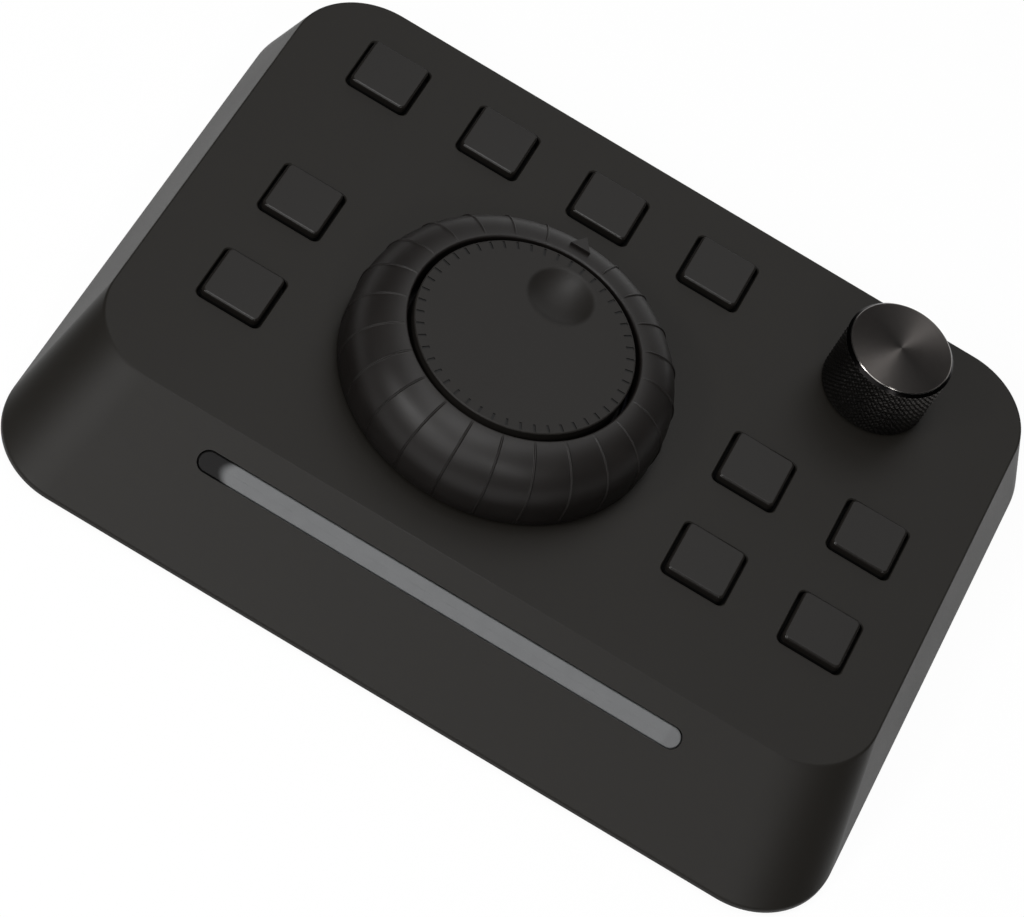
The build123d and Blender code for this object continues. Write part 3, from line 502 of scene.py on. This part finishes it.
keyFinish = mouldedFinish("key_cap", keyLook, None, edgePolish)
for keyName in keyNames:
    low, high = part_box(keyName)
    spot = middle(keyName)
    flangeTop = ceilingZ - keyCap["gapUnderPanel"] * mm
    flangeLow = flangeTop - keyCap["flangeThickness"] * mm
    bm = bmesh.new()
    litZ = panelZ - keyCap["lit"] * mm
    waist = block(bm, spot, keyCap["size"] * mm, keyCap["size"] * mm, flangeTop, litZ,
                  keyCap["corner"] * mm, keyCap["steps"])
    capTop = riseTo(bm, waist, high.z - litZ)
    roundEdges(bm, list(capTop.edges), keyCap["crown"] * mm, keyCap["crownSteps"])
    block(bm, spot, keyCap["flange"] * mm, keyCap["flange"] * mm, flangeLow, flangeTop,
          keyCap["corner"] * mm, keyCap["steps"])
    place = Matrix.Translation((spot.x, spot.y, (low.z + flangeLow) / 2))
    bmesh.ops.create_cone(bm, cap_ends=True, segments=keyCap["stemSteps"], radius1=keyCap["stem"] * mm,
                          radius2=keyCap["stem"] * mm, depth=flangeLow - low.z, matrix=place)
    keyPiece = settle(objectFrom(keyName + "_cap", bm), keyName, keyFinish)
    # painted shade: below the lit height the cap's sides, flange and stem take the near-black well finish
    paintWellShade(keyPiece, litZ, [spot], keyCap["flange"] * mm)
print("keys made:", len(keyNames))


# shuttle grip

grip = dict(outer=33.2, inner=23.4, height=15.45, gap=0.4, innerRound=0.5, chamfer=0.5, rim=28.2,
            rimTop=11.2, flange=29.8, flangeTop=3.4, arcSteps=26, roundSteps=6, ribs=24, ribWidth=0.56,
            ribTop=0.1, ribHeight=0.3, ribLift=0.15, ribStart=24.2, ribFade=0.5, ribSpan=2.6, ribSteps=26,
            plainSteps=3, pointerAngle=90, pointerRise=0.35, pointerBase=26.2, pointerTip=29.3,
            pointerWidth=4.4, pointerRound=0.12, pointerSteps=3, sharp=50)
gripWidth = grip["outer"] - grip["inner"]
shoulder = grip["height"] - gripWidth
ribPitch = 360 / grip["ribs"]


def raised(points):  # heights above the panel, in millimetres, to metres in the frame
    return [(radius * mm, panelZ + height * mm) for radius, height in points]


def soft(value):
    held = min(max(value, 0.0), 1.0)
    return held * held * (3 - 2 * held)


innerRound = grip["innerRound"]
innerTurn = math.degrees(math.acos(innerRound / (gripWidth - innerRound)))
innerRise = (gripWidth - innerRound) * math.sin(math.radians(innerTurn))
innerMiddle = (grip["inner"] + innerRound, shoulder + innerRise)
section = arcPoints((grip["inner"], shoulder), gripWidth, 0, innerTurn, grip["arcSteps"])
section += arcPoints(innerMiddle, innerRound, innerTurn, 180, grip["roundSteps"])[1:]
section += [(grip["inner"], grip["rimTop"]), (grip["rim"], grip["rimTop"]), (grip["rim"], grip["flangeTop"]),
            (grip["flange"], grip["flangeTop"]), (grip["flange"], grip["gap"]),
            (grip["outer"] - grip["chamfer"], grip["gap"]), (grip["outer"], grip["gap"] + grip["chamfer"]),
            (grip["outer"], shoulder * 0.5)]
section.append(section[0])


def ribSwell(vert):  # how far a point of the ribbed sector rises, 0 to 1
    across = vert.co - wheelSpot
    radius = math.hypot(across.x, across.y) / mm
    height = (vert.co.z - panelZ) / mm
    overChamfer = height > grip["gap"] + grip["chamfer"] + hair
    onOutside = overChamfer and (height > shoulder or radius > grip["outer"] - hair)
    turn = math.atan2(across.y, across.x) - math.radians(grip["pointerAngle"] + ribPitch)
    flank = (grip["ribWidth"] / 2 - abs(turn) * radius) / ((grip["ribWidth"] - grip["ribTop"]) / 2)
    return soft(flank) * soft((radius - grip["ribStart"]) / grip["ribFade"]) if onOutside else 0.0


bm = bmesh.new()
edge = upright(bm, raised(section), wheelSpot)
sectorStart = math.radians(grip["pointerAngle"] + ribPitch / 2)
bmesh.ops.rotate(bm, verts=bm.verts, cent=(wheelSpot.x, wheelSpot.y, 0),
                 matrix=Matrix.Rotation(sectorStart, 3, "Z"))
besideRib = ((ribPitch - grip["ribSpan"]) / 2, grip["plainSteps"])
for span, steps in (besideRib, (grip["ribSpan"], grip["ribSteps"]), besideRib):
    edge = sweep(bm, edge, wheelSpot, span, steps)
for vert in bm.verts:
    swell = ribSwell(vert)
    outward = Vector((vert.co.x - wheelSpot.x, vert.co.y - wheelSpot.y, 0)).normalized()
    upShare = soft((vert.co.z - panelZ - shoulder * mm) / (gripWidth * mm))
    vert.co += (outward * grip["ribHeight"] + Vector((0, 0, grip["ribLift"] * upShare))) * mm * swell
sector = list(bm.verts) + list(bm.edges) + list(bm.faces)
sweep(bm, sector, wheelSpot, ribPitch * (grip["ribs"] - 2), grip["ribs"] - 2, True)
plainBm = bmesh.new()  # the sector with the pointer has no rib
upright(plainBm, raised(section), wheelSpot)
plainStart = math.radians(grip["pointerAngle"] - ribPitch / 2)
bmesh.ops.rotate(plainBm, verts=plainBm.verts, cent=(wheelSpot.x, wheelSpot.y, 0),
                 matrix=Matrix.Rotation(plainStart, 3, "Z"))
sweep(plainBm, list(plainBm.verts) + list(plainBm.edges), wheelSpot, ribPitch, 3 * grip["plainSteps"])
join(bm, plainBm)
pointerLow = panelZ + grip["rimTop"] * mm
tips = ((0, grip["pointerTip"]), (-grip["pointerWidth"] / 2, grip["pointerBase"]),
        (grip["pointerWidth"] / 2, grip["pointerBase"]))
corners = [bm.verts.new((wheelSpot.x + x * mm, wheelSpot.y + y * mm, pointerLow)) for x, y in tips]
pointerFace = bm.faces.new(corners)
pointerCap = riseTo(bm, pointerFace, (grip["height"] + grip["pointerRise"] - grip["rimTop"]) * mm)
roundEdges(bm, list(pointerCap.edges), grip["pointerRound"] * mm, grip["pointerSteps"])
settle(objectFrom("shuttle_ring", bm), "shuttle_grip", gripFinish, grip["sharp"])
print("shuttle ring made")


# jog dial

dial = dict(radius=22.3, top=15.85, thickness=3.2, edgeRound=0.35, edgeSteps=6, skirt=8.1, wall=2.0,
            dimple=6.78, dimpleDepth=1.8, dimpleAngle=82.2, dimpleEdge=2.49, bowlShare=0.93, bowlSteps=20,
            lipSteps=6, polishStart=0.8, polishEnd=1.02, steps=160, ticks=48, tickEdge=0.4, tickLength=1.6,
            tickWidth=0.5, tickDepth=0.15, tickBlur=0.05, inkShare=0.9, sharp=35)


def scaleMarks(coords):
    radius, turn, height = polar(coords, wheelSpot)
    places = turn * (dial["ticks"] / math.tau)
    aside = abs(places - places.maths("ROUND", places)) * radius * (math.tau / dial["ticks"])
    outer = (dial["radius"] - dial["tickEdge"]) * mm
    inner = outer - dial["tickLength"] * mm
    half = dial["tickWidth"] / 2 * mm
    blur = dial["tickBlur"] * mm
    mark = (1 - aside.ease(half - blur, half + blur)) * radius.ease(inner - blur, inner + blur)
    mark = mark * (1 - radius.ease(outer - blur, outer + blur))
    return mark * (height > panelZ + (dial["top"] - 2 * dial["tickDepth"]) * mm) * dial["inkShare"]


def dimplePolish(coords):
    radius = polar(coords, dimpleSpot)[0]
    reach = dial["dimple"] * mm
    return 1 - radius.ease(reach * dial["polishStart"], reach * dial["polishEnd"])


dimpleReach = (dial["radius"] - dial["dimpleEdge"] - dial["dimple"]) * mm
dimpleTurn = math.radians(dial["dimpleAngle"])
dimpleSpot = wheelSpot + Vector((math.cos(dimpleTurn), math.sin(dimpleTurn), 0)) * dimpleReach
bm = bmesh.new()
edgeRound = dial["edgeRound"]
floorHeight = dial["top"] - dial["thickness"]
side = arcPoints((dial["radius"] - edgeRound, dial["top"] - edgeRound), edgeRound, 90, 0, dial["edgeSteps"])
side += [(dial["radius"], dial["skirt"]), (dial["radius"] - dial["wall"], dial["skirt"]),
         (dial["radius"] - dial["wall"], floorHeight), (0, floorHeight)]
turned(bm, raised(side), wheelSpot, dial["steps"])
ball = (dial["dimple"] ** 2 + dial["dimpleDepth"] ** 2) / (2 * dial["dimpleDepth"])
slant = math.degrees(math.asin(dial["dimple"] / ball)) * dial["bowlShare"]
bowl = arcPoints((0, dial["top"] - dial["dimpleDepth"] + ball), ball, 270, 270 + slant, dial["bowlSteps"])
lipStart, lipSlant = bowl[-1], math.radians(slant)  # an arc from the bowl to the face, with no edge
lipRadius = (dial["top"] - lipStart[1]) / (1 - math.cos(lipSlant))
lipMiddle = (lipStart[0] + lipRadius * math.sin(lipSlant), dial["top"] - lipRadius)
bowl += arcPoints(lipMiddle, lipRadius, 90 + slant, 90, dial["lipSteps"])[1:]
turned(bm, raised(bowl), dimpleSpot, dial["steps"])
topEdges = [edge for edge in bm.edges if len(edge.link_faces) == 1
            and all(abs(vert.co.z - panelZ - dial["top"] * mm) < samePoint for vert in edge.verts)]
bmesh.ops.bridge_loops(bm, edges=topEdges)
dialPiece = objectFrom("jog_disc", bm)
tickBm = bmesh.new()
tickMiddle = (dial["radius"] - dial["tickEdge"] - dial["tickLength"] / 2) * mm
tickSize = (dial["tickLength"] * mm, dial["tickWidth"] * mm, 2 * dial["tickDepth"] * mm, 1.0)
for index in range(dial["ticks"]):
    place = Matrix.Translation((wheelSpot.x, wheelSpot.y, panelZ + dial["top"] * mm))
    place = place @ Matrix.Rotation(math.tau * index / dial["ticks"], 4, "Z")
    place = place @ Matrix.Translation((tickMiddle, 0, 0)) @ Matrix.Diagonal(tickSize)
    bmesh.ops.create_cube(tickBm, size=1.0, matrix=place)
carve(dialPiece, [objectFrom("ticks", tickBm)])
dialFinish = mouldedFinish("dial_face", dialLook, scaleMarks, dimplePolish)
settle(dialPiece, "jog_dial", dialFinish, dial["sharp"])
print("jog dial made")


# control knob

knob = dict(radius=11.4, top=15.03, gap=0.5, band=10.8, bandHeight=0.35, ledge=0.5, face=10.66, chamfer=0.14,
            foot=0.2, recess=7.4, recessTop=7.0, teeth=60, toothDepth=0.28, rows=60, steps=360, sectors=60,
            knurlMargin=0.1, ringPitch=0.2, ringDepth=0.028, sharp=24)
# rim: a painted highlight, a light grey on the knob's top chamfer
spunLook = dict(cloud=1.2, cloudDepth=0.002, line=0.5, lineShare=0.6, blend=0.02, ledge=tone(23, 22, 22),
                rim=tone(116, 113, 110), knurlDark=tone(58, 56, 55), knurlLight=tone(76, 74, 72),
                faceDark=tone(50, 48, 47), faceLight=tone(64, 61, 59), rough=0.32, topPolish=0.14,
                faceRough=0.13, roughSpread=0.08)


def spunFinish():
    finish, shader, coords = newFinish("black_anodised", Metallic=1.0)
    radius, height = polar(coords, knobSpot)[::2]
    blend = spunLook["blend"]
    onTop = height > panelZ + (knob["top"] - knob["chamfer"] - blend) * mm
    onFace = onTop * (radius < (knob["face"] - blend) * mm)
    overKnurl = height > panelZ + (knurlHigh - blend) * mm
    cloud = noise(coords, spunLook["cloud"] * mm, detail=3.0)
    along = radius * (1 / (spunLook["line"] * mm))
    lines = coords.node("TexNoise", {"noise_dimensions": "1D"}, {"W": along, "Detail": 3.0})
    knurled = cloud.tint(spunLook["knurlDark"], spunLook["knurlLight"])
    # painted shade: the band and ledge above the knurl are painted near-black so they show dark
    ledgeShaded = overKnurl.tint(knurled, spunLook["ledge"])
    # painted highlight: the top chamfer is painted light grey for the bright line round the rim
    rimHighlighted = onTop.tint(ledgeShaded, spunLook["rim"])
    spun = lines * spunLook["lineShare"] + cloud * (1 - spunLook["lineShare"])
    spun = spun.tint(spunLook["faceDark"], spunLook["faceLight"])
    feed(shader, "Base Color", onFace.tint(rimHighlighted, spun))
    smoothed = spunLook["rough"] - overKnurl * spunLook["topPolish"] + onFace * spunLook["faceRough"]
    feed(shader, "Roughness", smoothed + (cloud - 0.5) * spunLook["roughSpread"])
    feed(shader, "Normal", bump(cloud, spunLook["cloudDepth"] * mm))
    return finish


bm = bmesh.new()
bandLow = knob["top"] - knob["bandHeight"]
knurlHigh = bandLow - knob["ledge"]
knurlLow = knob["gap"] + knob["foot"]
ringCount = int(knob["face"] * 2 / knob["ringPitch"])
side = [(0, knob["top"])]  # fine turned rings on the face, a valley and a crest to each
for index in range(1, ringCount):
    side.append((index * knob["ringPitch"] / 2, knob["top"] - knob["ringDepth"] * (index % 2)))
side += [(knob["face"], knob["top"]), (knob["band"], knob["top"] - knob["chamfer"]), (knob["band"], bandLow)]
knurlRise = knurlLow - knurlHigh
side += [(knob["radius"], knurlHigh + knurlRise * row / knob["rows"]) for row in range(knob["rows"] + 1)]
side += [(knob["radius"] - knob["foot"], knob["gap"]), (knob["recess"], knob["gap"]),
         (knob["recess"], knob["recessTop"]), (0, knob["recessTop"])]
turned(bm, raised(side), knobSpot, knob["steps"], knob["sectors"])
toothPitch = math.tau * knob["radius"] / knob["teeth"]
for vert in bm.verts:
    across = vert.co - knobSpot
    height = (vert.co.z - panelZ) / mm
    onSide = math.hypot(across.x, across.y) > (knob["radius"] - hair) * mm
    if onSide and knurlLow - hair < height < knurlHigh - knob["knurlMargin"]:
        turn = math.atan2(across.y, across.x) / math.tau * knob["teeth"]
        climb = height / toothPitch
        crest = min(abs((turn + climb) % 1 - 0.5), abs((turn - climb) % 1 - 0.5)) * 2
        vert.co -= Vector((across.x, across.y, 0)).normalized() * knob["toothDepth"] * mm * (1 - crest)
settle(objectFrom("knob_cap", bm), "control_knob", spunFinish(), knob["sharp"])
print("knob made")


# light bar

# painted light: the frosted tones stand for the bar's glow, unlit is a painted shade and dimmedEnd a painted
# dimming
lensLook = dict(shine=0.13, haze=3.0, hazeShare=0.6, grain=0.25, grainDepth=0.006, rough=0.45,
                roughSpread=0.12, frostedDark=tone(100, 101, 102), frostedLight=tone(113, 114, 115),
                dimmedEnd=tone(88, 88, 89), unlit=tone(18, 17, 17), litStart=4.0, litEnd=6.4, litCurve=300,
                dimStart=3.4, dimEnd=2.2, dimShare=0.35)


def diffuserFinish():
    finish, shader, coords = newFinish("bar_diffuser", Specular_IOR_Level=lensLook["shine"])
    tilted = coords.node("Mapping", {"vector_type": "TEXTURE"}, {
        "Vector": coords, "Location": barPlace.to_translation(), "Rotation": barPlace.to_euler()})
    along = tilted.node("SeparateXYZ", None, {"Vector": tilted})
    across = along.sibling("Y")
    half = bar["length"] / 2 * mm
    haze = noise(coords, lensLook["haze"] * mm, detail=3.0)
    grain = noise(coords, lensLook["grain"] * mm, detail=2.0)
    hollowed = along - across * across * lensLook["litCurve"]  # the lit edge curves in towards the middle
    # painted light: the lit part is a light frosted colour with no lamp behind it, the unlit end is painted
    # near-black and the far end painted dimmer
    lit = hollowed.ease(lensLook["litStart"] * mm - half, lensLook["litEnd"] * mm - half)
    end = along.ease(half - lensLook["dimStart"] * mm, half - lensLook["dimEnd"] * mm)
    frosted = haze * lensLook["hazeShare"] + grain * (1 - lensLook["hazeShare"])
    frosted = frosted.tint(lensLook["frostedDark"], lensLook["frostedLight"])
    dimmed = (end * lensLook["dimShare"]).tint(frosted, lensLook["dimmedEnd"])
    feed(shader, "Base Color", lit.tint(lensLook["unlit"], dimmed))
    feed(shader, "Roughness", lensLook["rough"] + (haze - 0.5) * lensLook["roughSpread"])
    feed(shader, "Normal", bump(grain, lensLook["grainDepth"] * mm))
    return finish


bm = bmesh.new()
barTop = stadium(bm, bar["length"] * mm, bar["width"] * mm, -housing["wall"] * mm, 0, bar["steps"])
roundEdges(bm, list(barTop.edges), bar["crown"] * mm, bar["crownSteps"])
flangeTop = -housing["wall"] * mm
stadium(bm, (bar["length"] + 2 * bar["flange"]) * mm, (bar["width"] + 2 * bar["flange"]) * mm,
        flangeTop - bar["flangeThickness"] * mm, flangeTop, bar["steps"])
bmesh.ops.transform(bm, matrix=barPlace, verts=bm.verts)
settle(objectFrom("bar_lens", bm), "light_bar", diffuserFinish())
print("light bar made")


# feet

foot = dict(radius=5.0, chamfer=0.35, steps=64)
footLow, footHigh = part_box("rubber_feet")
footHeight = (footHigh.z - footLow.z) / mm
bm = bmesh.new()
for x in (footLow.x + foot["radius"] * mm, footHigh.x - foot["radius"] * mm):
    for y in (footLow.y + foot["radius"] * mm, footHigh.y - foot["radius"] * mm):
        side = [(0, 0), (foot["radius"] - foot["chamfer"], 0), (foot["radius"], foot["chamfer"]),
                (foot["radius"], footHeight), (0, footHeight)]
        turned(bm, [(radius * mm, rise * mm) for radius, rise in side], Vector((x, y, 0)), foot["steps"])
settle(objectFrom("foot_pads", bm), "rubber_feet", footFinish)
print("feet made")


# floor, light and camera

studio = dict(floorReach=4.0, floorCells=8, floorTone=0.97, whiteShare=0.94, glossyShare=0.35, skyLow=0.05,
              skyHigh=0.3, skyStart=0.1, skyEnd=0.9, sideStart=0.2, sideEnd=0.75, sideLoss=0.85)


def grey(value):
    return value, value, value, 1.0


def skyShade():
    world = bpy.data.worlds.new("studio")
    scene.world = world
    world.use_nodes = True
    tree = world.node_tree
    start = Flow(tree)
    heading = start.node("TexCoord", out="Generated")
    sideways = heading.node("SeparateXYZ", None, {"Vector": heading}, out="X")
    seen = start.node("LightPath", out="Is Camera Ray")
    aside = abs(sideways).ease(studio["sideStart"], studio["sideEnd"])
    overhead = sideways.sibling("Z").ease(studio["skyStart"], studio["skyEnd"])
    overhead = overhead * (1 - aside * studio["sideLoss"])  # darker to the left and right
    glow = overhead.tint(grey(studio["skyLow"]), grey(studio["skyHigh"]))
    tree.links.new(seen.tint(glow, grey(1.0)).socket, tree.nodes["Background"].inputs["Color"])


def floorFinish():
    finish = bpy.data.materials.new("studio_floor")
    finish.use_nodes = True
    tree = finish.node_tree
    start = Flow(tree)
    camera = start.node("LightPath", out="Is Camera Ray")
    mirrored = camera.sibling("Is Glossy Ray") * studio["glossyShare"]
    shown = camera.maths("MAXIMUM", camera, mirrored) * studio["whiteShare"]
    matte = start.node("BsdfDiffuse", None, {"Color": grey(studio["floorTone"])})
    white = start.node("Emission", None, {"Color": grey(1.0), "Strength": 1.0})
    mixed = start.node("MixShader", None, {0: shown, 1: matte, 2: white})
    tree.links.new(mixed.socket, tree.nodes["Material Output"].inputs["Surface"])
    return finish


floorBm = bmesh.new()
bmesh.ops.create_grid(floorBm, x_segments=studio["floorCells"], y_segments=studio["floorCells"],
                      size=studio["floorReach"])
floor = objectFrom("studio_floor", floorBm)
floor.data.materials.append(floorFinish())
skyShade()

softboxes = dict(
    strip=dict(azimuth=180, elevation=85, distance=1.0, width=0.26, height=0.62, spin=78, watts=3.0),
    ceiling=dict(azimuth=270, elevation=70, distance=1.15, width=1.2, height=1.0, spin=0, watts=0.3),
    frontLeft=dict(azimuth=250, elevation=40, distance=1.1, width=0.75, height=0.6, spin=0, watts=3.7),
    glintLeft=dict(azimuth=226, elevation=43, distance=1.1, width=0.17, height=0.12, spin=0, watts=2.2),
    glintRight=dict(azimuth=302, elevation=45, distance=1.1, width=0.17, height=0.12, spin=0, watts=1.5),
    back=dict(azimuth=92, elevation=57, distance=1.2, width=0.7, height=0.8, spin=0, watts=1.9),
    backdrop=dict(azimuth=90, elevation=15, distance=1.3, width=1.1, height=0.66, spin=0, watts=1.3),
)
for name, box in softboxes.items():
    lamp = bpy.data.lights.new(name, "AREA")
    lamp.shape = "RECTANGLE"
    lamp.size = box["width"]
    lamp.size_y = box["height"]
    lamp.energy = box["watts"]
    holder = bpy.data.objects.new(name, lamp)
    azimuth, elevation = math.radians(box["azimuth"]), math.radians(box["elevation"])
    level = math.cos(elevation)
    toward = Vector((math.cos(azimuth) * level, math.sin(azimuth) * level, math.sin(elevation)))
    holder.location = toward * box["distance"]
    aim = Matrix.Rotation(azimuth + math.pi / 2, 3, "Z") @ Matrix.Rotation(math.pi / 2 - elevation, 3, "X")
    holder.rotation_euler = (aim @ Matrix.Rotation(math.radians(box["spin"]), 3, "Z")).to_euler()
    scene.collection.objects.link(holder)

shot = dict(lens=133.8, sensor=36.0, nearest=0.05, place=(5.291, -463.894, 596.152),
            aim=(-2.023, -18.826, 17.3), roll=30.06)
camera = bpy.data.cameras.new("photo_camera")
camera.lens = shot["lens"]
camera.sensor_fit = "HORIZONTAL"
camera.sensor_width = shot["sensor"]
camera.clip_start = shot["nearest"]
viewer = bpy.data.objects.new("photo_camera", camera)
viewer.location = Vector(shot["place"]) * mm
sight = (Vector(shot["aim"]) - Vector(shot["place"])).to_track_quat("-Z", "Y").to_matrix().to_4x4()
viewer.rotation_euler = (sight @ Matrix.Rotation(math.radians(shot["roll"]), 4, "Z")).to_euler()
scene.collection.objects.link(viewer)
scene.camera = viewer
scene.view_settings.view_transform = "Standard"
print("stage set")
